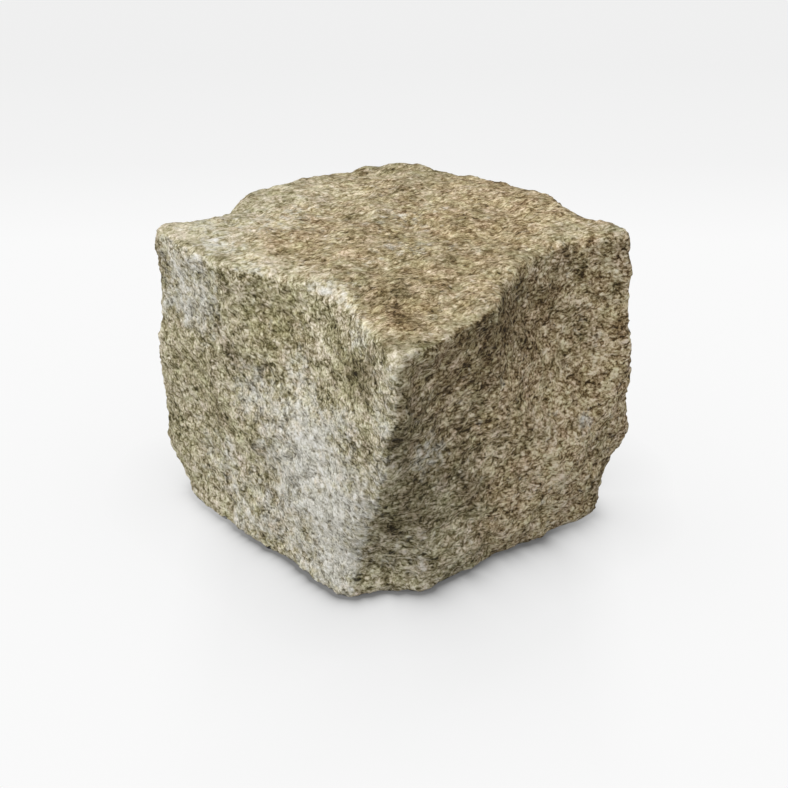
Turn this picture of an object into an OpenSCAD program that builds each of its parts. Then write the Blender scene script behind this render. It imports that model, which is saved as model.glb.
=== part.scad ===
// Granite paving sett: one block of stone, split by hand on every face and worn on its arrises.
// +Z is up, with the head of the sett on top and its bed flat on the ground at Z = 0.
// The origin lies under the middle of the block.

/* [Block] */
// Nominal length along X, before the faces lean and bulge
length = 107; // [80:1:120]
// Nominal width along Y, before the faces lean and bulge
width = 107; // [80:1:120]
// Nominal height from the bed to the head
height = 92; // [75:1:110]
// Depth that dressing takes off the underside to leave a flat bed
bed_dressing = 1; // [1:0.5:4]

/* [Splitting] */
// Depth that one heavy hammer blow takes off
spall = 9; // [0:0.5:12]
// Radius of the shell-shaped hollow that such a blow leaves
shell_r = 46; // [38:1:60]
// Half the height of such a hollow, which runs down the side
shell_rise = 64; // [46:1:90]
// Height of the low waves that run across a split face
wave_rise = 0.7; // [0:0.1:1.5]
// Distance from one wave to the next
wave_length = 24; // [18:1:40]

/* [Wear] */
// Radius that traffic and handling have left on the arrises
arris_r = 2; // [1.5:0.5:8]
// Radius at the rims of the hollows, which break away softer than an arris
rim_r = 6; // [4:0.5:12]
// How far around each point wear evens out the break
wear_reach = 2.5; // [1:0.5:5]

/* [Mesh] */
// Steps across each face of the block
steps = 32; // [12:2:32]

/* [Hidden] */

stone = [0.56, 0.51, 0.41];
half = [length, width, height] / 2;

// Split faces, each as [lean, proud]. In lean, the entry of 1 or -1 names the side of the block
// and the other two tilt the face. proud is how far it stands out there, in spalls.
split_faces = [
  // head: it falls to the front corner, and away from its crown to the back
  [[0.03, -0.055, 1], 0.15],
  [[-0.035, 0.01, 1], 0.22],
  // front side, along -Y
  [[0.055, -1, 0], -0.4],
  // back side, bent in the middle
  [[-0.3, 1, 0], 0.45],
  [[0.08, 1, 0.04], 0.65],
  // left side
  [[-1, -0.02, -0.02], 0.05],
  // right side, twisted: its head leans out at the front
  [[1, 0.08, 0], 0.55],
  [[1, -0.1, -0.11], 0.42],
];

// The underside before it is dressed.
bed_lean = [0.015, 0.01, -1];

// Corners knocked off flat, each as [way it faces, depth below the plain corner in spalls].
chips = [
  // the left foot
  [[-0.67, -0.57, -0.48], 1],
  // the right corner of the head
  [[0.75, 0.55, 0.35], 0.3],
  // the back corner of the head
  [[-0.6, 0.6, 0.5], 1.2],
];

// Hollows left by single blows, each as [spot, way it faces, radius, depth]. The spot is on the
// plain block in shares of half its size, the radius is in shell_r, and the depth in spalls.
blows = [
  // under the head, towards the front corner: a wide shallow one, and a deeper one inside it
  [[0.4, -1, 1.05], [0, -1, 0], 1.4, 1.4],
  [[0.31, -1, 1.1], [0, -1, 0], 0.6, 1.9],
  // under the head, on the right side
  [[1, 0.49, 0.85], [1, 0, 0], 1, 1.3],
  // the broad sweep of the right side
  [[1, -0.35, 0], [1, 0, 0], 1.8, 0.2],
  // the foot of the front arris, cut well back
  [[1, -0.9, -0.8], [0.9, -0.4, -0.1], 0.6, 1.7],
  // the notch at the foot of the right arris
  [[1, 1, -1.1], [0.66, 0.75, 0], 0.4, 1.1],
  // the nick below the left corner of the head
  [[-1, -1, 0.4], [-0.7, -0.7, 0], 0.3, 0.15],
  // small spalls along the back of the head
  [[-1, -0.6, 1], [-0.7, 0, 0.7], 0.4, 0.2],
  [[0.5, 1, 1.1], [0, 1, 0.5], 0.5, 0.1],
];

// Waves across the faces, each as [the way it runs, its pitch in wave_length, its phase].
waves = [
  [[0.8, 0.5, 0.3], 1, 0],
  [[-0.4, 0.7, 0.6], 0.8, 60],
  [[0.3, -0.5, 0.8], 1.25, 200],
];

function sum(list, i = 0) = i == len(list) ? 0 : list[i] + sum(list, i + 1);
function unit(v) = v / norm(v);
function abs_of(v) = [for (a = v) abs(a)];
// a place on the plain block, from shares of half its size
function on_block(share) = [for (axis = [0:2]) share[axis] * half[axis]];
// half the size of the block along the axis of the side that a lean names
function side_distance(lean) = sum([for (axis = [0:2]) abs(lean[axis]) == 1 ? half[axis] : 0]);

// Every flat, as [unit normal, distance from the middle of the block].
flats = concat(
  [[unit(bed_lean), (half[2] + bed_dressing) / norm(bed_lean)]],
  [for (f = split_faces) [unit(f[0]), (side_distance(f[0]) + f[1] * spall) / norm(f[0])]],
  [for (c = chips) [unit(c[0]), unit(abs_of(c[0])) * half - c[1] * spall]]
);
// Every hollow, as the [centre, radius] of the ball that would fill it, before the ball is drawn
// out upwards and downwards from shell_r to shell_rise.
balls = [for (b = blows)
  let (r = b[2] * shell_r)
  [on_block(b[0]) + (r - b[3] * spall) * unit(b[1]), r]
];

// The faces are blended by a power mean. The power that rounds a square arris to a radius follows
// from how far such an arris stands from the middle of the block.
function blend(radius) = -ln(2) / ln(1 - (sqrt(2) - 1) * radius / norm([half[0], half[1]]));
// Places around each point that wear evens it out with.
ring_count = 6;

// One over the distance from the middle, along the unit vector u, to a flat.
function flat_nearness(u, flat) = max(0, flat[0] * u) / flat[1];

// The same for a hollow. It is worked out with the block squeezed until the hollow is a true ball.
// Where u misses the ball, the root changes its sign, so that the nearness falls off evenly.
function squeezed(v) = [v[0], v[1], v[2] * shell_r / shell_rise];
function hollow_nearness(u, ball) =
  let (
    way = squeezed(u),
    centre = squeezed(ball[0]),
    abreast = way * centre,
    under_root = abreast * abreast - (way * way) * (centre * centre - ball[1] * ball[1])
  )
  abreast <= 0 ? 0 : way * way / (abreast - sign(under_root) * sqrt(abs(under_root)));

function blended(list, power) =
  let (most = max(list))
  most * pow(sum([for (a = list) pow(a / most, power)]), 1 / power);

// Distance from the middle, along the unit vector u, to the stone as it was split.
function split_distance(u) = 1 / blended([
  blended([for (f = flats) flat_nearness(u, f)], blend(arris_r)),
  each [for (b = balls) hollow_nearness(u, b)]
], blend(rim_r));

function wave_height(p) =
  wave_rise / 2 * sum([for (w = waves) sin(360 * (p * w[0]) / (w[1] * wave_length) + w[2])]);

// The same once it is worn: the mean of the distance along u and along a ring of vectors round
// it, which meet the skin about wear_reach away.
function worn_distance(u) =
  let (
    across = unit(cross(u, [u[1], u[2], -u[0]])),
    ahead = cross(across, u),
    spread = wear_reach / norm(half)
  )
  (split_distance(u) + sum([for (k = [1:ring_count])
    let (turn = 360 * k / ring_count)
    split_distance(unit(u + spread * (cos(turn) * across + sin(turn) * ahead)))
  ])) / (1 + ring_count);

// Point of the stone's skin that lies behind a point of the unit cube, seen from the middle.
function skin(cube_point) =
  let (u = unit(on_block(cube_point)), r = worn_distance(u))
  (r + wave_height(r * u)) * u;

// The skin is a square net on each face of a cube. Its lines draw together towards the arrises.
function net_line(i) = let (s = 2 * i / steps - 1) (s + sin(90 * s)) / 2;
round_trip = 4 * steps;
// point k of the net's rim, anticlockwise from the corner at -X, -Y
function rim(k) =
  let (side = floor(k / steps), s = net_line(k % steps))
  side == 0 ? [s, -1] : side == 1 ? [1, s] : side == 2 ? [-s, 1] : [-1, -s];
function rim_number(i, j) =
  j == 0 ? i : i == steps ? steps + j : j == steps ? 3 * steps - i : (round_trip - j) % round_trip;

// points: the rings that climb the four sides, then the inner net of the bed, then of the head
ring_points = [for (j = [0:steps]) for (k = [0:round_trip - 1])
  skin([rim(k)[0], rim(k)[1], net_line(j)])
];
function inner_net(z) = [for (j = [1:steps - 1]) for (i = [1:steps - 1])
  skin([net_line(i), net_line(j), z])
];
raw_points = concat(ring_points, inner_net(-1), inner_net(1));
bed_start = len(ring_points);
head_start = bed_start + pow(steps - 1, 2);

// number of the point at (i, j) in the bed's or the head's net
function net_number(i, j, ring, start) =
  min(i, j) == 0 || max(i, j) == steps
    ? ring * round_trip + rim_number(i, j)
    : start + (j - 1) * (steps - 1) + i - 1;
// two triangles that part a square of the net along its shorter diagonal, which follows an arris
function halves(a, b, c, d) =
  norm(raw_points[a] - raw_points[c]) < norm(raw_points[b] - raw_points[d])
    ? [[a, b, c], [a, c, d]]
    : [[a, b, d], [b, c, d]];
side_triangles = [for (j = [0:steps - 1]) for (k = [0:round_trip - 1])
  let (low = j * round_trip, up = low + round_trip, next = (k + 1) % round_trip)
  each halves(low + k, up + k, up + next, low + next)
];
bed_triangles = [for (j = [0:steps - 1]) for (i = [0:steps - 1])
  each halves(
    net_number(i, j, 0, bed_start), net_number(i + 1, j, 0, bed_start),
    net_number(i + 1, j + 1, 0, bed_start), net_number(i, j + 1, 0, bed_start))
];
head_triangles = [for (j = [0:steps - 1]) for (i = [0:steps - 1])
  each halves(
    net_number(i, j, steps, head_start), net_number(i, j + 1, steps, head_start),
    net_number(i + 1, j + 1, steps, head_start), net_number(i + 1, j, steps, head_start))
];

// The block stands centred over the origin, with the part that dressing takes off below Z = 0.
function middle(axis) =
  let (all = [for (p = raw_points) p[axis]])
  (min(all) + max(all)) / 2;
place = [-middle(0), -middle(1), half[2]];

module split_block() {
  translate(place)
    polyhedron(
      points = raw_points,
      faces = concat(side_triangles, bed_triangles, head_triangles),
      convexity = 4
    );
}

module dressing() {
  translate([-length, -width, -height])
    cube([2 * length, 2 * width, height]);
}

module sett() {
  color(stone)
    difference() {
      split_block();
      dressing();
    }
}

sett();
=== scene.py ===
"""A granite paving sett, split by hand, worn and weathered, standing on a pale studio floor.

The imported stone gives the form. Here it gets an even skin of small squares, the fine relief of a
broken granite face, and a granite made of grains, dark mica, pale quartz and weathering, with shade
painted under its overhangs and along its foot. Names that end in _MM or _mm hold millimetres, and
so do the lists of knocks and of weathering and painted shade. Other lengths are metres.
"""

import math

import bmesh
import bpy
import numpy as np
from mathutils import Matrix, Vector, kdtree, noise


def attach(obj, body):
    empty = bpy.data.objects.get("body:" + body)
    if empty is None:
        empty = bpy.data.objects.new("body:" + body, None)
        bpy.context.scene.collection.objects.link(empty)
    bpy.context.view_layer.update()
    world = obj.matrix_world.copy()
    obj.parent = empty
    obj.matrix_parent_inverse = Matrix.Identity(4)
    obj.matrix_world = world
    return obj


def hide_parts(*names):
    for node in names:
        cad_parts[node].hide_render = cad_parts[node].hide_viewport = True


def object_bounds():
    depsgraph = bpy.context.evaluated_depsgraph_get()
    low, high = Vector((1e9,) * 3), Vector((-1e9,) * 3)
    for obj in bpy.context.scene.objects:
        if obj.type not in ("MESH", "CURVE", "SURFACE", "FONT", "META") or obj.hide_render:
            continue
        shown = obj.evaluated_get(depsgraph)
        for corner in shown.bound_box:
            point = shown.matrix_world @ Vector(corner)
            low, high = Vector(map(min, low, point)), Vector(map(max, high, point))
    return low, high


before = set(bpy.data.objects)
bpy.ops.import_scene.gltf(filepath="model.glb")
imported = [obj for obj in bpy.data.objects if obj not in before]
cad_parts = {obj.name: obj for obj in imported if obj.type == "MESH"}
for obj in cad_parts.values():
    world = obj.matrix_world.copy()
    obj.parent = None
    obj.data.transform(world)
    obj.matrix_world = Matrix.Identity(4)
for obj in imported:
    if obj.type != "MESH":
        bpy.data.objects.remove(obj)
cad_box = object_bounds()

MM = 0.001

# ---------------------------------------------------------------- the stone's own facts

low_corner, high_corner = (np.array(corner) / MM for corner in cad_box)
# The middle of the stone and half its size, in whole millimetres as the lists below are.
MIDDLE_MM = ((low_corner + high_corner) / 2).round()
HALF_SIZE_MM = ((high_corner - low_corner) / 2).round()

# The grains are flat, and all lie one way, as in most split granite.
GRAIN_FACES = Vector((0.70, -0.17, 0.68)).normalized()  # the way their flats face
GRAIN_FLATNESS = 1.55                                   # how much wider than thick a grain is
GRAIN_RUNS = Vector((0.24, 0.97, 0)).normalized()       # the long way of the grains
GRAIN_LENGTH = 1.35                                     # how much longer than wide a grain is

# Where handling has shifted the skin by one to three millimetres, each as (middle, how far it
# reaches, how far the skin went), in millimetres.
KNOCKS = [
    # the left corner of the head, and the arris behind it
    ((-56, -56, 84), 30, (1.7, 2.0, -0.4)), ((-53, 20, 94), 24, (0.4, 0, -2.2)),
    # the back arris of the head, to the right
    ((22, 56, 90), 24, (0, 0.4, 1.8)),
    # the arrises of the head above the two hollows
    ((8, -43, 90), 17, (0, -2.6, -0.8)), ((53, -10, 88), 18, (-1.0, 0, 0)),
    ((55, -38, 88), 12, (1.2, 0, -0.3)),
    # the foot of the right side, where the rim of the bed has spalled off
    ((53, -22, 0), 13, (-0.6, 0, 1.5)), ((53, -9, 0), 13, (-0.6, 0, 1.6)),
    ((54, 4, 0), 13, (-0.6, 0, 1.4)), ((54, 17, 0), 12, (-0.5, 0, 1.0)),
    # the front arris
    ((55, -49, 72), 18, (1.5, 0, 0)), ((50, -49, 43), 13, (-1.0, 0, 0)),
    # the right arris
    ((57, 56, 56), 20, (-1.2, -1.4, 0)), ((56, 55, 84), 16, (-0.8, -0.9, 0)),
]

# Weathering and painted shade, each patch as (middle in millimetres, how far it reaches, how strong
# it is).
# bloom: pale grey salts. scour: freshly rubbed, lighter stone. algae: yellow-green growth.
# grime_and_shade: brown-black dirt, and painted shade. rust: warm iron stain.
WEATHERING_AND_SHADE = {
    "bloom": [
        # front side: the left end and the middle
        ((-36, -58, 82), 17, 0.8), ((-28, -57, 73), 13, 0.7), ((-5, -53, 53), 13, 0.7),
        ((-46, -56, 69), 8, 1.0), ((-36, -56, 70), 8, 0.9), ((34, -51, 57), 9, 0.7),
        ((10, -51, 66), 12, 0.5), ((14, -55, 54), 16, 0.7),
        # front side: the broad pale patch that runs down to the foot
        ((22, -54, 43), 21, 1.0), ((30, -55, 31), 21, 1.0), ((30, -55, 18), 23, 1.0),
        ((8, -55, 34), 15, 0.9), ((36, -55, 8), 15, 0.9), ((-22, -57, 22), 14, 0.6),
        ((-2, -57, 14), 16, 0.7), ((12, -56, 18), 15, 0.7), ((16, -54, 5), 12, 0.7),
        ((28, -54, 16), 14, 0.6), ((-14, -54, 5), 11, 0.7),
        # the front arris of the head, and the front arris
        ((-25, -56, 86), 9, 0.7), ((-9, -50, 90), 9, 0.6), ((14, -41, 89), 9, 0.8),
        ((24, -43, 86), 10, 0.8), ((34, -48, 86), 8, 0.6), ((52, -55, 80), 9, 0.9),
        ((54, -55, 70), 10, 0.6), ((52, -56, 66), 10, 0.9), ((50, -56, 52), 11, 0.9),
        ((50, -56, 44), 15, 0.5), ((47, -56, 40), 11, 0.8),
        # the left end and the middle of the head
        ((-30, -20, 93), 20, 0.4), ((-40, -40, 93), 14, 0.4), ((-28, -47, 92), 10, 0.6),
        ((14, -6, 94), 14, 0.3), ((-6, 6, 94), 14, 0.25),
        # right side
        ((54, -34, 50), 10, 0.7), ((54, 28, 38), 4, 0.8), ((50, -36, 14), 12, 0.4),
        # left side and back
        ((-56, 10, 40), 16, 0.8), ((-56, -25, 62), 12, 0.6), ((-56, 34, 74), 12, 0.5),
        ((-20, 56, 30), 15, 0.7), ((18, 56, 52), 12, 0.6),
    ],
    "scour": [
        # the left end of the head
        ((-42, -48, 93), 16, 1.0), ((-30, -46, 93), 14, 1.0), ((-36, -28, 93), 22, 0.9),
        ((-42, -4, 94), 22, 0.8), ((-34, 20, 94), 20, 0.6), ((-32, 3, 93), 18, 0.5),
        ((-50, 20, 92), 14, 0.4),
        # the front arris of the head
        ((-28, -55, 89), 12, 0.8), ((-12, -44, 93), 13, 1.0), ((-8, -50, 89), 12, 0.8),
        ((-10, -54, 86), 7, 0.7), ((0, -49, 85), 7, 0.6), ((6, -43, 87), 10, 0.8),
        ((2, -39, 92), 11, 0.9), ((14, -36, 92), 7, 0.6), ((21, -41, 86), 10, 0.8),
        ((36, -46, 86), 9, 0.8),
        # the middle, the back and the right corner of the head
        ((-12, 12, 94), 18, 0.6), ((-8, 36, 95), 18, 0.6), ((20, 38, 95), 18, 0.6),
        ((38, 34, 95), 14, 0.7),
        # the right arris of the head
        ((50, -31, 91), 6, 0.5), ((51, -22, 92), 5, 0.5), ((50, -13, 92), 5, 0.5),
        ((42, 5, 93), 8, 0.5), ((36, 18, 94), 8, 0.5),
        # the right side, towards the back and the foot
        ((48, 42, 84), 16, 0.4), ((52, 42, 66), 20, 0.5), ((56, 40, 46), 24, 0.6),
        ((60, 24, 30), 24, 0.6), ((58, 20, 10), 22, 0.7), ((52, 16, 54), 20, 0.5),
        ((57, 0, 8), 14, 0.7), ((58, 6, 34), 16, 0.4), ((56, 14, 16), 12, 0.7),
        ((54, 4, 40), 8, 0.5),
        # the right side, beside the front arris
        ((52, -38, 55), 8, 0.5), ((50, -47, 40), 9, 0.5),
        # front side
        ((-26, -56, 10), 18, 0.8), ((-48, -55, 50), 12, 0.6), ((-48, -55, 37), 12, 0.5),
        ((-12, -56, 29), 14, 0.6), ((34, -52, 58), 9, 0.6),
        # left side and back
        ((-56, -20, 40), 16, 0.4), ((30, 57, 70), 16, 0.6),
    ],
    "algae": [
        # front side: the left half, and under the head
        ((-36, -57, 52), 18, 0.6), ((-41, -57, 18), 18, 0.4), ((-24, -57, 38), 13, 0.5),
        ((-11, -56, 35), 12, 0.3), ((-4, -52, 75), 17, 0.8), ((4, -46, 80), 14, 0.6),
        ((31, -47, 77), 11, 0.8), ((30, -50, 65), 10, 0.5),
        # head: its right arris, and the dark spot
        ((44, 8, 86), 9, 0.6), ((41, 26, 84), 9, 0.5), ((2, -3, 92), 4, 1.0),
        # right side: the front corner, and the middle
        ((54, -44, 80), 9, 0.5), ((54, 1, 47), 9, 0.3),
        # left side and back
        ((-56, -38, 30), 18, 0.8), ((-56, 30, 22), 16, 0.7), ((-38, 56, 64), 16, 0.8),
        ((30, 55, 20), 15, 0.7),
    ],
    "grime_and_shade": [
        # front side: the stain under the head, and the left end
        ((38, -49, 76), 9, 1.0), ((31, -47, 78), 7, 0.7), ((43, -50, 79), 7, 0.9),
        ((30, -50, 66), 11, 0.5), ((5, -46, 78), 7, 0.6), ((-48, -56, 82), 10, 0.6),
        ((-53, -56, 80), 10, 0.9), ((-55, -56, 66), 8, 0.5),
        # front side: dark spots, and shade painted at the foot of the front arris
        ((-22, -54, 38), 5, 1.0), ((-6, -54, 34), 4, 0.9), ((-2, -53, 22), 5, 1.0),
        ((12, -53, 30), 6, 0.9), ((7, -53, 21), 5, 0.8), ((16, -53, 40), 5, 0.9),
        ((-14, -53, 62), 8, 0.6), ((42, -44, 12), 12, 0.6),
        # right side: shade painted in the strip close under the arris of the head
        ((54, -28, 86), 7, 0.8), ((52, -20, 87), 8, 0.8), ((50, -12, 86), 8, 0.6),
        ((48, -4, 86), 8, 0.4), ((48, 4, 86), 8, 0.4), ((47, 12, 85), 8, 0.5),
        # right side: dirt, and shade painted in the hollow under the head
        ((60, -42, 80), 14, 0.9), ((60, -26, 80), 15, 1.0), ((58, -10, 80), 15, 1.0),
        ((52, 0, 82), 12, 1.0), ((46, 10, 82), 11, 0.9), ((44, 22, 81), 10, 0.8),
        ((54, -33, 75), 9, 0.7), ((55, -4, 76), 18, 0.7), ((45, 12, 72), 12, 0.6),
        ((60, -38, 66), 16, 1.0), ((58, -22, 64), 14, 0.8), ((57, -8, 66), 12, 0.5),
        ((49, 10, 66), 12, 0.5),
        # right side: dirt, and shade painted along the front arris and inwards of it, from the head
        # down
        ((55, -46, 68), 9, 0.9), ((54, -45, 58), 8, 0.8), ((47, -47, 56), 10, 0.7),
        ((60, -40, 52), 13, 0.65), ((56, -34, 50), 16, 0.7), ((56, -24, 44), 16, 0.8),
        ((56, -38, 38), 14, 0.8), ((50, -45, 36), 12, 0.7), ((56, -14, 34), 14, 0.5),
        ((52, -38, 30), 12, 0.5), ((52, -16, 28), 11, 0.6), ((54, -36, 24), 14, 0.7),
        ((46, -44, 24), 12, 0.9),
        # right side: the pit near its foot, and shade painted along the foot
        ((54, 5, 22), 2.5, 1.0), ((52, -30, 8), 14, 0.3), ((54, -20, 2), 8, 0.6),
        ((54, -5, 2), 8, 0.7), ((54, 9, 2), 8, 0.7),
        # shade painted on the rim of the bed, about the foot of the front arris
        ((38, -50, 1), 9, 0.6), ((48, -42, 1), 9, 0.5), ((30, -55, 0), 7, 0.4),
        ((40, -44, 5), 10, 0.7), ((51, -20, 4), 10, 0.6),
        # head: its front corner, and the dark spot
        ((32, -33, 93), 12, 0.7), ((22, -28, 94), 12, 0.6), ((41, -35, 92), 9, 0.7),
        ((2, -3, 92), 4, 1.0),
        # left side and back
        ((-56, 0, 68), 12, 0.6), ((-10, 56, 62), 14, 0.7), ((40, 54, 78), 12, 0.6),
    ],
    "rust": [
        # head
        ((0, 10, 94), 70, 0.8), ((35, -10, 92), 44, 0.7), ((10, 48, 92), 44, 1.0),
        ((-16, -26, 92), 26, 0.7), ((34, -34, 91), 14, 0.6), ((-40, 20, 92), 25, 0.5),
        ((44, -38, 90), 12, 1.0),
        # right side
        ((62, 40, 50), 90, 1.0), ((58, 30, 40), 40, 0.8), ((56, 30, 76), 40, 0.8),
        ((58, -2, 66), 36, 1.0), ((58, -30, 78), 28, 0.9), ((58, 8, 20), 32, 0.8),
        ((58, 20, 8), 30, 0.7),
        # left side and back
        ((-56, 20, 60), 24, 0.6), ((0, 57, 60), 42, 0.7),
    ],
}

# ---------------------------------------------------------------- form

SKIN_MM = 0.9           # squares of the even skin

# The skin is evened by averaging each point with its neighbours, in turns.
SMOOTH_TURNS = 5        # what takes out the squares' own steps
BROAD_TURNS = 40        # what leaves only the broad form, from which the arrises stand out
FACING_TURNS = 4        # what evens the normals that say which way a side faces
# Each step of sharpening adds a share of the difference between a finer and a coarser average,
# as (share, turns of the finer one, turns of the coarser one).
SHARPENING = [(1.3, 0, 24), (0.7, 0, 8), (0.7, 2, 16)]
ARRIS_MM = (0.5, 2.0)   # skin that stands out by the first starts an arris, by the second is on it

# Rough noise, each as (width of its widest lumps in millimetres, octaves, seed).
LUMPS = (11, 3, 1)
GRIT = (2.8, 3, 2)
PITS = (2.6, 2, 4)
NIBBLES = (10, 2, 3)
RIM_BREAKS = (5, 2, 5)
FINER_LOWER = 0.9       # how much lower the finer lumps are
FINER_BY = 2.0          # how many times finer each octave is than the last
SEED_STEP = (17.3, -9.1, 5.7)  # from the place where one seed reads the noise to the next one's

LUMP_RISE_MM = 0.8
GRIT_RISE_MM = 0.75
GRIT_LOST_MM = 0.3          # what traffic takes off the grit of the head
PIT_DEPTH_MM = 1.1
PIT_START = 0.45            # noise beyond this makes a pit
FULL_PIT_MM = 0.8           # the looks are fully darkened where the skin lies this deep, in a pit or in the grit
NIBBLE_DEPTH_MM = 2.0
NIBBLE_SPARES_MM = 0.25     # how far an arris stands proud where nothing nibbled it
RUBBED_MM = 0.6             # how far the whole skin has been rubbed back

# The bed stays flat, but its rim is broken away here and there.
FLAT_BED_MM = (0.3, 3.3)    # the relief fades out from the second height down to the first
RIM_RISE_MM = 3.0           # how high the breaks take the rim
RIM_BREAK_START = -0.15     # noise beyond this breaks the rim
RIM_HEIGHT_MM = 4           # how far up the breaks reach

# A patch of weathering starts where the skin faces its side's way by the first share, and is
# full where it does by the second.
SIDE_FACING = (0.45, 0.65)
PATCH_FALL = 0.7        # power by which a patch fades out: under 1, it stays strong far out


def even_skin():
    """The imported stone's form, wrapped in small even squares."""
    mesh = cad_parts["sett"].data.copy()
    work = bmesh.new()
    work.from_mesh(mesh)
    bmesh.ops.remove_doubles(work, verts=work.verts, dist=1e-6)
    work.to_mesh(mesh)
    work.free()
    blank = bpy.data.objects.new("blank", mesh)
    bpy.context.scene.collection.objects.link(blank)
    wrap = blank.modifiers.new("wrap", "REMESH")
    wrap.mode = "VOXEL"
    wrap.voxel_size = SKIN_MM * MM
    shown = blank.evaluated_get(bpy.context.evaluated_depsgraph_get())
    skin = bpy.data.meshes.new_from_object(shown)
    bpy.data.objects.remove(blank)
    bpy.data.meshes.remove(mesh)
    skin.materials.clear()
    skin.name = "sett_stone"
    return skin


class Net:
    """The skin as arrays, in millimetres, with the averaging over neighbours that relief needs."""

    def __init__(self, mesh):
        self.mesh = mesh
        count = len(mesh.vertices)
        points = np.empty(count * 3)
        mesh.vertices.foreach_get("co", points)
        self.points = points.reshape(-1, 3) / MM
        ends = np.empty(len(mesh.edges) * 2, dtype=np.int64)
        mesh.edges.foreach_get("vertices", ends)
        self.starts, self.ends = ends.reshape(-1, 2).T
        self.neighbours = np.bincount(ends, minlength=count)

    def average(self, values, turns):
        """values averaged with their neighbours' in so many turns."""
        count = len(self.neighbours)
        for _ in range(turns):
            total = np.empty_like(values)
            for axis in range(values.shape[1]):
                near = np.bincount(self.starts, values[self.ends, axis], count)
                near += np.bincount(self.ends, values[self.starts, axis], count)
                total[:, axis] = near
            values = 0.5 * values + 0.5 * total / self.neighbours[:, None]
        return values

    def normals(self):
        """Outward normals at the points as they stand."""
        self.store()
        normals = np.empty(self.points.size)
        self.mesh.vertices.foreach_get("normal", normals)
        return normals.reshape(-1, 3)

    def store(self):
        self.mesh.vertices.foreach_set("co", (self.points * MM).ravel())
        self.mesh.update()


def rough(points, size_mm, octaves, seed):
    """Rough noise between about -1 and 1, whose widest lumps are size_mm across."""
    shift = Vector([seed * step for step in SEED_STEP])
    return np.array([
        noise.fractal(Vector(point) / size_mm + shift, FINER_LOWER, FINER_BY, octaves)
        for point in points.tolist()
    ])


def flattened(points):
    """points drawn out across the lie of the grain, so that round noise gives flat, long grains."""
    drawn = points.copy()
    for way, times in ((GRAIN_FACES, GRAIN_FLATNESS), (GRAIN_RUNS, 1 / GRAIN_LENGTH)):
        drawn += np.outer(points @ np.array(way) * (times - 1), np.array(way))
    return drawn


def share(values, start, end):
    """How far values have come from start to end, from 0 to 1."""
    return np.clip((values - start) / (end - start), 0, 1)


def nearness(points, middle, reach):
    """1 in the middle of a ball, and 0 from its skin outwards."""
    return share(np.linalg.norm(points - middle, axis=1), reach, 0)


def broken_stone():
    """The stone with the relief of a split and worn face, and what its shape says for the looks."""
    mesh = even_skin()
    net = Net(mesh)
    net.points = net.average(net.points, SMOOTH_TURNS)
    for amount, finer, coarser in SHARPENING:
        net.points += amount * (net.average(net.points, finer) - net.average(net.points, coarser))
    for middle, reach, push in KNOCKS:
        near = nearness(net.points, middle, reach)
        # eased at both ends, so that a knock leaves no edge
        net.points += np.outer(near ** 2 * (3 - 2 * near), push)
    normals = net.normals()
    bulge = np.einsum("ij,ij->i", net.points - net.average(net.points, BROAD_TURNS), normals)
    arris = share(bulge, *ARRIS_MM)
    facing = net.average(normals, FACING_TURNS)
    # traffic wears what faces up
    traffic = np.clip(facing[:, 2], 0, 1) ** 2
    lumps = rough(net.points, *LUMPS) * LUMP_RISE_MM
    grit = rough(flattened(net.points), *GRIT) * (GRIT_RISE_MM - GRIT_LOST_MM * traffic)
    pits = np.clip(rough(net.points, *PITS) - PIT_START, 0, 1) * -PIT_DEPTH_MM
    nibbles = NIBBLE_SPARES_MM - np.abs(rough(net.points, *NIBBLES)) * NIBBLE_DEPTH_MM
    relief = normals * (lumps + grit + pits + nibbles * arris - RUBBED_MM)[:, None]
    height = net.points[:, 2]
    relief[:, 2] *= share(height, *FLAT_BED_MM)
    breaks = np.clip(rough(net.points, *RIM_BREAKS) - RIM_BREAK_START, 0, 1) * arris
    relief[:, 2] += breaks * RIM_RISE_MM * share(height, RIM_HEIGHT_MM, 0)
    net.points += relief
    net.points[:, 2] = np.maximum(net.points[:, 2], 0)
    net.store()
    give(mesh, "arris", arris)
    give(mesh, "traffic", traffic)
    give(mesh, "pits", share(-(grit + pits), 0, FULL_PIT_MM))
    for kind, patches in WEATHERING_AND_SHADE.items():
        give(mesh, kind, patchy(net.points, facing, patches))
    mesh.shade_smooth()
    stone = bpy.data.objects.new("sett_stone", mesh)
    bpy.context.scene.collection.objects.link(stone)
    return stone


def patchy(points, facing, patches):
    """How strongly any of the patches lies on each point, from 0 to 1. A patch keeps to the side
    of the block that it is on, so that it ends at the arrises."""
    clear = np.ones(len(points))
    for middle, reach, strength in patches:
        out = (np.array(middle) - MIDDLE_MM) / HALF_SIZE_MM
        axis = np.argmax(np.abs(out))
        on_side = share(facing[:, axis] * np.sign(out[axis]), *SIDE_FACING)
        clear *= 1 - strength * nearness(points, middle, reach) ** PATCH_FALL * on_side
    return 1 - clear


def give(mesh, name, values):
    """Stores a number at each point of the mesh, for the material to read."""
    layer = mesh.attributes.new(name, "FLOAT", "POINT")
    layer.data.foreach_set("value", values.astype(np.float32))


# ---------------------------------------------------------------- granite

# Noises of the granite, each as (size in millimetres, detail, roughness).
WANDER = (3.0, 3, 0.6)    # bends the lie of the grains
FINE = (0.8, 2, 0.6)      # within a grain
CLOTS = (2.4, 3, 0.6)     # grains that cling together
MOTTLE = (6.5, 4, 0.65)   # lighter and darker stone
HUE = (5.0, 5, 0.7)       # rosier and greener stone
POCKETS = (4.6, 4, 0.7)   # where dirt lodges
EDGES = (8.0, 6, 0.75)    # breaks up the patches of weathering
RAGS = (2.4, 3, 0.6)      # and frays them, down among the grains

WANDER_MM = 1.4           # how far the lie of the grains wanders
GRAIN_MM = 1.05           # width of a grain
# Each grain has a random number from 0 to 1: the first few are mica, and the last are quartz.
MICA = (0.06, 0.10)
QUARTZ = (0.86, 0.93)
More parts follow.
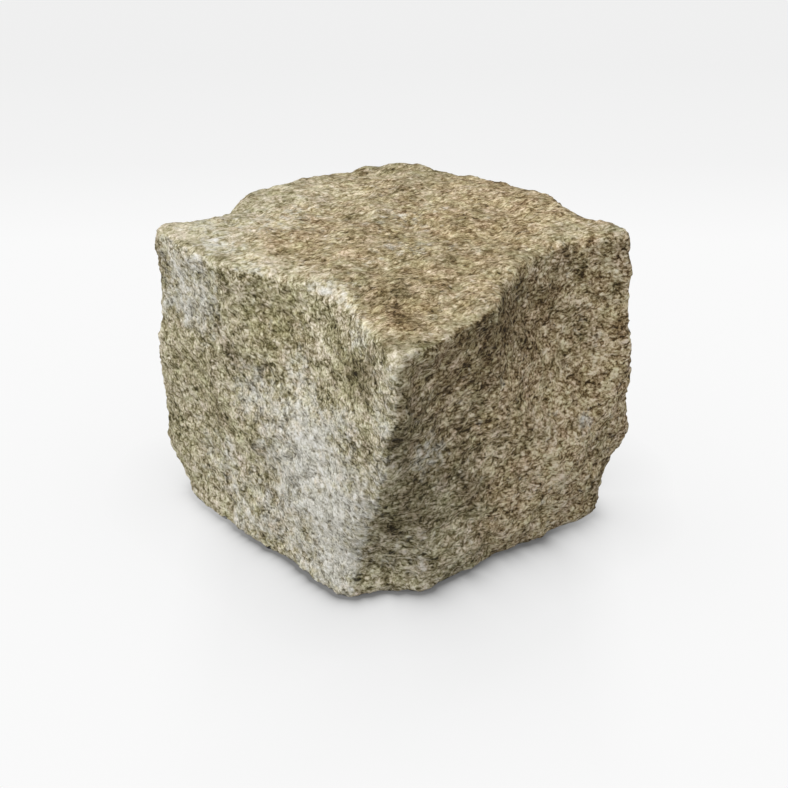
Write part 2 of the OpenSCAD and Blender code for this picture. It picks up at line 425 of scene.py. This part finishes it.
# The values of their noises at which these start, and at which they are full.
POCKET_EDGES = (0.51, 0.62)
HUE_EDGES = (0.34, 0.66)
PATCH_EDGES = (0.25, 1.0)

# How far the noises break a patch up, and how ragged the edge of each kind is.
BROKEN_UP = 1.8
RAGGED = {"bloom": 2.0, "scour": 1.0, "algae": 2.0, "grime_and_shade": 1.5, "rust": 0.5}
NEXT_KIND_MM = 40.0       # from the place where one kind reads the noises to the next one's

# How much the grains stand out, and what each of these adds to that where it is full.
CONTRAST = 1.05
CONTRAST_CHANGES = {"grime_and_shade": 0.25, "rust": 0.28, "scour": 0.15, "traffic": -0.45}
# How much lighter each makes the stone where it is full. The tones run from 0 to 1.
TONE_CHANGES = {
    "bloom": 0.08, "scour": 0.13, "grime_and_shade": -0.06, "pits": -0.12, "traffic": -0.035, "arris": 0.06}
# How far each keeps dirt out of the pockets. Where none does, the stone between the pockets is a
# little lighter.
KEEPS_DIRT_OUT = {"rust": -1.0, "scour": -0.8, "bloom": -0.4}
BETWEEN_POCKETS = 0.03
DIRT_IN_POCKETS = 0.17

# The stone's colours at five tones, from the dirt between grains to the palest quartz.
TONES = (0.12, 0.33, 0.50, 0.66, 0.88)
COOL = ((57, 51, 31), (125, 117, 85), (178, 171, 143), (220, 213, 191), (250, 246, 232))
WARM = ((62, 48, 28), (130, 109, 75), (184, 165, 130), (225, 209, 176), (255, 245, 222))
PALE = ((98, 95, 88), (158, 155, 144), (203, 201, 191), (228, 226, 218), (243, 243, 240))
ROSIER = (255, 247, 249)
GREENER = (247, 249, 233)
# What growth, and dirt with painted shade, tint the stone with, and how strongly these and the
# bloom cover it.
ALGAE_TINT = (214, 212, 160)
ALGAE_COVERS = 0.4
GRIME_AND_SHADE_TINT = (162, 152, 130)
GRIME_AND_SHADE_COVERS = 0.8
BLOOM_COVERS = 0.85

STONE_ROUGHNESS = 0.85
STONE_SHINE = 0.3
GRAIN_RISE = 0.5 * MM   # how high the single grains stand, as bump
MEAN_HEIGHT = 0.7       # the middle of the grains' heights, which rubbing leaves where it is
GRAINS_LEFT = 0.45      # the share of their height that traffic leaves


def paint(red, green, blue):
    """A colour as a painter reads it, 0 to 255, made linear."""
    parts = (c / 255 for c in (red, green, blue))
    return (*(c / 12.92 if c <= 0.04045 else ((c + 0.055) / 1.055) ** 2.4 for c in parts), 1)


class Nodes:
    """Short ways to add nodes to a tree. Each returns the socket that the next one needs."""

    def __init__(self, tree):
        self.tree = tree

    def add(self, kind, **settings):
        node = self.tree.nodes.new("ShaderNode" + kind)
        for name, value in settings.items():
            setattr(node, name, value)
        return node

    def plug(self, socket, value):
        if isinstance(value, bpy.types.NodeSocket):
            self.tree.links.new(value, socket)
        else:
            socket.default_value = value

    def math(self, operation, a, b=0.0):
        node = self.add("Math", operation=operation)
        self.plug(node.inputs[0], a)
        self.plug(node.inputs[1], b)
        return node.outputs[0]

    def times(self, a, b):
        return self.math("MULTIPLY", a, b)

    def total(self, start, parts):
        """start, and a share of each part, given as (part, share)."""
        for part, part_share in parts:
            start = self.math("ADD", start, self.times(part, part_share))
        return start

    def vector(self, operation, a, b):
        node = self.add("VectorMath", operation=operation)
        self.plug(node.inputs[0], a)
        self.plug(node.inputs[1], b)
        return node.outputs["Value" if operation == "DOT_PRODUCT" else "Vector"]

    def scaled(self, vector, scale):
        node = self.add("VectorMath", operation="SCALE")
        self.plug(node.inputs[0], vector)
        self.plug(node.inputs["Scale"], scale)
        return node.outputs["Vector"]

    def place(self):
        return self.add("TexCoord").outputs["Object"]

    def place_mm(self):
        """Where a point lies on the stone, in millimetres."""
        return self.scaled(self.place(), 1 / MM)

    def drawn_out(self, place, way, times):
        """What draws place out so many times along a way, when it is added to place."""
        along = self.vector("DOT_PRODUCT", place, tuple(way))
        return self.scaled(tuple(way), self.times(along, times - 1))

    def noise(self, vector, size_mm, detail, roughness, out="Fac"):
        node = self.add("TexNoise")
        self.plug(node.inputs["Vector"], vector)
        node.inputs["Scale"].default_value = 1 / size_mm
        node.inputs["Detail"].default_value = detail
        node.inputs["Roughness"].default_value = roughness
        return node.outputs[out]

    def centred(self, value):
        """A value that lies about 0.5, brought to lie about 0."""
        return self.math("SUBTRACT", value, 0.5)

    def spread(self, value, start, end, to_start=0.0, to_end=1.0):
        """value, with start to end drawn out to to_start to to_end, and held at the ends."""
        node = self.add("MapRange")
        self.plug(node.inputs["Value"], value)
        for name, number in zip(("From Min", "From Max", "To Min", "To Max"),
                                (start, end, to_start, to_end)):
            self.plug(node.inputs[name], number)
        return node.outputs["Result"]

    def colour_of(self, tone, colours):
        node = self.add("ValToRGB")
        self.plug(node.inputs["Fac"], tone)
        stops = node.color_ramp.elements
        while len(stops) < len(TONES):
            stops.new(0.5)
        for stop, stop_tone, colour in zip(stops, TONES, colours):
            stop.position = stop_tone
            stop.color = paint(*colour)
        return node.outputs["Color"]

    def mix(self, factor, a, b, blend="MIX"):
        node = self.add("Mix", data_type="RGBA", blend_type=blend)
        self.plug(node.inputs["Factor"], factor)
        # the colour sockets, since the node has others of the same names
        self.plug(node.inputs[6], a)
        self.plug(node.inputs[7], b)
        return node.outputs[2]

    def tinted(self, colour, factor, tint):
        return self.mix(factor, colour, self.mix(1.0, colour, paint(*tint), "MULTIPLY"))

    def mixed_shader(self, factor, a, b):
        node = self.add("MixShader")
        for socket, value in zip(node.inputs, (factor, a, b)):
            self.plug(socket, value)
        return node.outputs[0]

    def attribute(self, name):
        return self.add("Attribute", attribute_name=name).outputs["Fac"]


def group(name, outputs):
    """A new node group whose outputs are numbers with these names."""
    tree = bpy.data.node_groups.new(name, "ShaderNodeTree")
    for label in outputs:
        tree.interface.new_socket(label, in_out="OUTPUT", socket_type="NodeSocketFloat")
    return tree


def mineral_grains():
    """Group: how light each grain is, how high it stands, which way the stone's colour leans, and
    where the pockets for dirt are."""
    tree = group("mineral_grains", ("Tone", "Height", "Hue", "Pockets"))
    n = Nodes(tree)
    place = n.place_mm()
    flat = n.drawn_out(place, GRAIN_FACES, GRAIN_FLATNESS)
    drawn = n.vector("ADD", flat, n.drawn_out(place, GRAIN_RUNS, 1 / GRAIN_LENGTH))
    wander = n.vector("SUBTRACT", n.noise(place, *WANDER, "Color"), (0.5, 0.5, 0.5))
    lie = n.vector("ADD", n.vector("ADD", place, drawn), n.scaled(wander, WANDER_MM))
    cells = n.add("TexVoronoi")
    n.plug(cells.inputs["Vector"], lie)
    cells.inputs["Scale"].default_value = 1 / GRAIN_MM
    random = n.add("SeparateColor")
    n.plug(random.inputs[0], cells.outputs["Color"])
    fine = n.noise(lie, *FINE)
    clots = n.noise(lie, *CLOTS)
    mottle = n.noise(place, *MOTTLE)
    mica = n.spread(random.outputs[0], *MICA, 1.0, 0.0)
    quartz = n.spread(random.outputs[0], *QUARTZ)
    tone = n.total(0.5, (
        (n.centred(fine), 1.05),
        (n.centred(clots), 0.7),
        (n.centred(mottle), 0.6),
        (n.centred(random.outputs[1]), 0.18),
        # a grain is light in its middle, and the gaps between grains hold dirt
        (n.centred(cells.outputs["Distance"]), -0.22),
        (quartz, 0.12),
        (mica, -0.12),
    ))
    out = tree.nodes.new("NodeGroupOutput")
    n.plug(out.inputs["Tone"], tone)
    n.plug(out.inputs["Height"], n.total(0.0, ((fine, 0.8), (clots, 0.7), (mica, -0.15))))
    n.plug(out.inputs["Hue"], n.noise(place, *HUE))
    n.plug(out.inputs["Pockets"], n.spread(n.noise(lie, *POCKETS), *POCKET_EDGES))
    return tree


def weathering_and_shade_masks():
    """Group: where each kind of weathering, and the painted shade, shows, with its patches broken
    up as real ones are.
    """
    tree = group("weathering_and_shade_masks", WEATHERING_AND_SHADE)
    n = Nodes(tree)
    place = n.place_mm()
    out = tree.nodes.new("NodeGroupOutput")
    for number, kind in enumerate(WEATHERING_AND_SHADE):
        shifted = n.vector("ADD", place, (number * NEXT_KIND_MM, 0, 0))
        broken = n.total(n.attribute(kind), (
            (n.centred(n.noise(shifted, *EDGES)), BROKEN_UP),
            (n.centred(n.noise(shifted, *RAGS)), RAGGED[kind]),
        ))
        n.plug(out.inputs[kind], n.spread(broken, *PATCH_EDGES))
    return tree


def granite():
    material = bpy.data.materials.new("granite")
    material.use_nodes = True
    n = Nodes(material.node_tree)
    shader = material.node_tree.nodes["Principled BSDF"]
    grains = n.add("Group", node_tree=mineral_grains()).outputs
    masks = dict(n.add("Group", node_tree=weathering_and_shade_masks()).outputs.items())
    for name in ("arris", "traffic", "pits"):
        masks[name] = n.attribute(name)

    def changed(start, changes):
        return n.total(start, [(masks[name], change) for name, change in changes.items()])

    contrast = changed(CONTRAST, CONTRAST_CHANGES)
    tone = n.math("ADD", n.times(n.centred(grains["Tone"]), contrast), 0.5)
    tone = changed(tone, TONE_CHANGES)
    open_to_dirt = n.math("MAXIMUM", changed(1.0, KEEPS_DIRT_OUT), 0.0)
    pockets = n.times(grains["Pockets"], open_to_dirt)
    tone = n.total(tone, ((open_to_dirt, BETWEEN_POCKETS), (pockets, -DIRT_IN_POCKETS)))
    colour = n.mix(masks["rust"], n.colour_of(tone, COOL), n.colour_of(tone, WARM))
    lean = n.mix(n.spread(grains["Hue"], *HUE_EDGES), paint(*ROSIER), paint(*GREENER))
    colour = n.mix(1.0, colour, lean, "MULTIPLY")
    colour = n.tinted(colour, n.times(masks["algae"], ALGAE_COVERS), ALGAE_TINT)
    # dirt, and shade painted as brown-black dirt, darken the colour
    colour = n.tinted(colour, n.times(masks["grime_and_shade"], GRIME_AND_SHADE_COVERS), GRIME_AND_SHADE_TINT)
    colour = n.mix(n.times(masks["bloom"], BLOOM_COVERS), colour, n.colour_of(tone, PALE))
    n.plug(shader.inputs["Base Color"], colour)
    shader.inputs["Roughness"].default_value = STONE_ROUGHNESS
    shader.inputs["Specular IOR Level"].default_value = STONE_SHINE
    bump = n.add("Bump")
    bump.inputs["Strength"].default_value = 1.0
    bump.inputs["Distance"].default_value = GRAIN_RISE
    height = n.math("SUBTRACT", grains["Height"], MEAN_HEIGHT)
    left = n.spread(masks["traffic"], 0.0, 1.0, 1.0, GRAINS_LEFT)
    n.plug(bump.inputs["Height"], n.times(height, left))
    n.plug(shader.inputs["Normal"], bump.outputs["Normal"])
    return material


# ---------------------------------------------------------------- studio

AZIMUTH = math.radians(49)
ELEVATION = math.radians(30)
LOOK_ACROSS = Vector((math.cos(AZIMUTH), math.sin(AZIMUTH), 0))
BEHIND = Vector((-math.sin(AZIMUTH), math.cos(AZIMUTH), 0))
CAMERA_DISTANCE = 0.4416
LENS_MM = 63.96
SENSOR_MM = 36
CAMERA_AIM = Vector((-0.0006, -0.0034, 0.046))
AIM_ACROSS = 0.0013     # how far beside that point the middle of the view lies
AIM_BELOW = 0.0084      # and how far below it

FOOT_HEIGHT = 1.6 * MM  # the stone's foot is all of it that lies lower than this
NEAR_FLOOR = 0.08       # the floor's small squares reach so far from the middle
NEAR_LINES = 129        # lines across them
FAR_STEP = 1.5          # farther out, each line lies so many times as far as the last
FAR_LINES = 10

PAPER_GREY = (0.70, 0.70, 0.70, 1)
PAPER_ROUGHNESS = 0.9
PAPER_SHINE = 0.1
BEYOND_PAPER = (0.91, 0.91, 0.91, 1)
SKY_STRENGTH = 0.20

# How the paper looks to the camera, each as (start, end, value up to the start, value from the
# end on), the first two from the middle towards the back, and the third from the stone's foot.
PAPER_TURNS_UP = (0.20, 0.30, 0.955, 0.897)  # how white it is, less so towards the back, as a painted fall-off of the light
PAPER_DIMS = (0.30, 0.47, 0.0, 0.03)         # how much of that it loses farther back, a painted fall-off of the light
EVENLY_LIT = (0.0, 0.03, 0.85, 1.0)          # how little the lamps change it
SHADE_REACH = 0.030     # how far the soft shade painted round the stone spreads
CONTACT_WIDTH = 0.0012  # width of the dark line painted at its foot
CONTACT_REACH = 0.0020  # how far that line takes to fade
SHADE_DEPTH = 0.17
CONTACT_DEPTH = 0.66
# The painted shade and line are lighter under the stone's two ends, which the lamps reach under.
# These shares run outwards from the middle.
SHADE_AT_ENDS = (0.050, 0.068, 1.0, 0.4)
CONTACT_AT_ENDS = (0.045, 0.070, 1.0, 0.35)
# The right side turns away from the lamps, so the painted shade along its foot is deeper, and the
# painted line under it wider. These run from the middle out to the right.
SHADE_ON_RIGHT = (0.055, 0.085, 1.0, 1.6)
CONTACT_ON_RIGHT = (0.045, 0.055, 1.0, 1.8)

# Soft square lamps, each as (way to it from the stone, size, power).
LAMPS = {
    "key": ((-0.28, -0.62, 0.73), 0.5, 9.4),
    "fill": ((0.45, -0.05, 0.89), 0.4, 4.6),
}
LAMP_DISTANCE = 1.2
LAMP_AIM = Vector((0, 0, 0.045))


def studio_floor(stone):
    """Paper in squares that are small close to the stone, each corner of which knows how far it is
    from the stone's foot."""
    foot = [v.co for v in stone.data.vertices if v.co.z < FOOT_HEIGHT]
    tree = kdtree.KDTree(len(foot))
    for number, place in enumerate(foot):
        tree.insert(place, number)
    tree.balance()
    near = np.linspace(-NEAR_FLOOR, NEAR_FLOOR, NEAR_LINES)
    far = NEAR_FLOOR * FAR_STEP ** np.arange(1, FAR_LINES + 1)
    lines = np.concatenate((-far[::-1], near, far))
    squares = len(lines) - 1
    work = bmesh.new()
    bmesh.ops.create_grid(work, x_segments=squares, y_segments=squares, size=1.0)
    for corner in work.verts:
        for axis in (0, 1):
            corner.co[axis] = lines[round((corner.co[axis] + 1) / 2 * squares)]
    mesh = bpy.data.meshes.new("floor")
    work.to_mesh(mesh)
    work.free()
    give(mesh, "away", np.array([tree.find(v.co)[2] for v in mesh.vertices]))
    floor = bpy.data.objects.new("floor", mesh)
    bpy.context.scene.collection.objects.link(floor)
    floor.data.materials.append(floor_paper())


def floor_paper():
    """Pale paper. The camera sees it lit more evenly than the lamps alone would light it, with a
    soft shade and a dark line painted into its colour close round the stone."""
    material = bpy.data.materials.new("floor_paper")
    material.use_nodes = True
    n = Nodes(material.node_tree)
    shader = material.node_tree.nodes["Principled BSDF"]
    shader.inputs["Base Color"].default_value = PAPER_GREY
    shader.inputs["Roughness"].default_value = PAPER_ROUGHNESS
    shader.inputs["Specular IOR Level"].default_value = PAPER_SHINE
    place = n.place()
    back = n.vector("DOT_PRODUCT", place, tuple(BEHIND))
    right = n.vector("DOT_PRODUCT", place, (1, 0, 0))
    across = n.math("ABSOLUTE", n.vector("DOT_PRODUCT", place, tuple(LOOK_ACROSS)))
    away = n.attribute("away")
    # shade painted onto the paper, deepest at the stone's foot and fading outwards
    shade = n.math("EXPONENT", n.math("DIVIDE", away, -SHADE_REACH))
    shade = n.times(shade, n.spread(across, *SHADE_AT_ENDS))
    shade = n.times(shade, n.spread(right, *SHADE_ON_RIGHT))
    # a dark line painted along the stone's foot, as a contact shadow
    beyond = n.math("MAXIMUM", n.math("SUBTRACT", away, CONTACT_WIDTH), 0.0)
    reach = n.times(n.spread(right, *CONTACT_ON_RIGHT), -CONTACT_REACH)
    painted_contact_shadow = n.math("EXPONENT", n.math("DIVIDE", beyond, reach))
    painted_contact_shadow = n.times(painted_contact_shadow, n.spread(across, *CONTACT_AT_ENDS))
    white = n.total(n.spread(back, *PAPER_TURNS_UP), (
        (n.spread(back, *PAPER_DIMS), -1.0),
        (shade, -SHADE_DEPTH),
        (painted_contact_shadow, -CONTACT_DEPTH),
    ))
    glow = n.add("Emission")
    n.plug(glow.inputs["Color"], white)
    even = n.times(n.spread(away, *EVENLY_LIT), n.add("LightPath").outputs["Is Camera Ray"])
    both = n.mixed_shader(even, shader.outputs[0], glow.outputs[0])
    n.plug(material.node_tree.nodes["Material Output"].inputs["Surface"], both)
    return material


def studio_light():
    world = bpy.data.worlds.new("studio")
    world.use_nodes = True
    n = Nodes(world.node_tree)
    sky = world.node_tree.nodes["Background"]
    sky.inputs["Color"].default_value = (1, 1, 1, 1)
    sky.inputs["Strength"].default_value = SKY_STRENGTH
    # the camera sees pale paper where the floor ends
    paper = n.add("Background")
    paper.inputs["Color"].default_value = BEYOND_PAPER
    seen = n.add("LightPath").outputs["Is Camera Ray"]
    both = n.mixed_shader(seen, sky.outputs[0], paper.outputs[0])
    n.plug(world.node_tree.nodes["World Output"].inputs["Surface"], both)
    bpy.context.scene.world = world
    for name, (towards, size, power) in LAMPS.items():
        lamp(name, Vector(towards).normalized(), size, power)


def lamp(name, way, size, power):
    data = bpy.data.lights.new(name, "AREA")
    data.shape = "SQUARE"
    data.size = size
    data.energy = power
    light = bpy.data.objects.new(name, data)
    bpy.context.scene.collection.objects.link(light)
    light.location = way * LAMP_DISTANCE + LAMP_AIM
    light.rotation_euler = way.to_track_quat("Z", "Y").to_euler()


def camera():
    back = -BEHIND * math.cos(ELEVATION) + Vector((0, 0, math.sin(ELEVATION)))
    up = back.cross(LOOK_ACROSS)
    aim = CAMERA_AIM + LOOK_ACROSS * AIM_ACROSS - up * AIM_BELOW
    data = bpy.data.cameras.new("camera")
    data.lens = LENS_MM
    data.sensor_width = SENSOR_MM
    data.clip_start = 0.01
    cam = bpy.data.objects.new("camera", data)
    axes = Matrix((LOOK_ACROSS, up, back)).transposed()
    cam.matrix_world = Matrix.Translation(aim + back * CAMERA_DISTANCE) @ axes.to_4x4()
    bpy.context.scene.collection.objects.link(cam)
    bpy.context.scene.camera = cam


# ---------------------------------------------------------------- all of it

stone = broken_stone()
stone.data.materials.append(granite())
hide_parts("sett")
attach(stone, "root")

studio_floor(stone)
studio_light()
camera()
bpy.context.scene.view_settings.view_transform = "Standard"
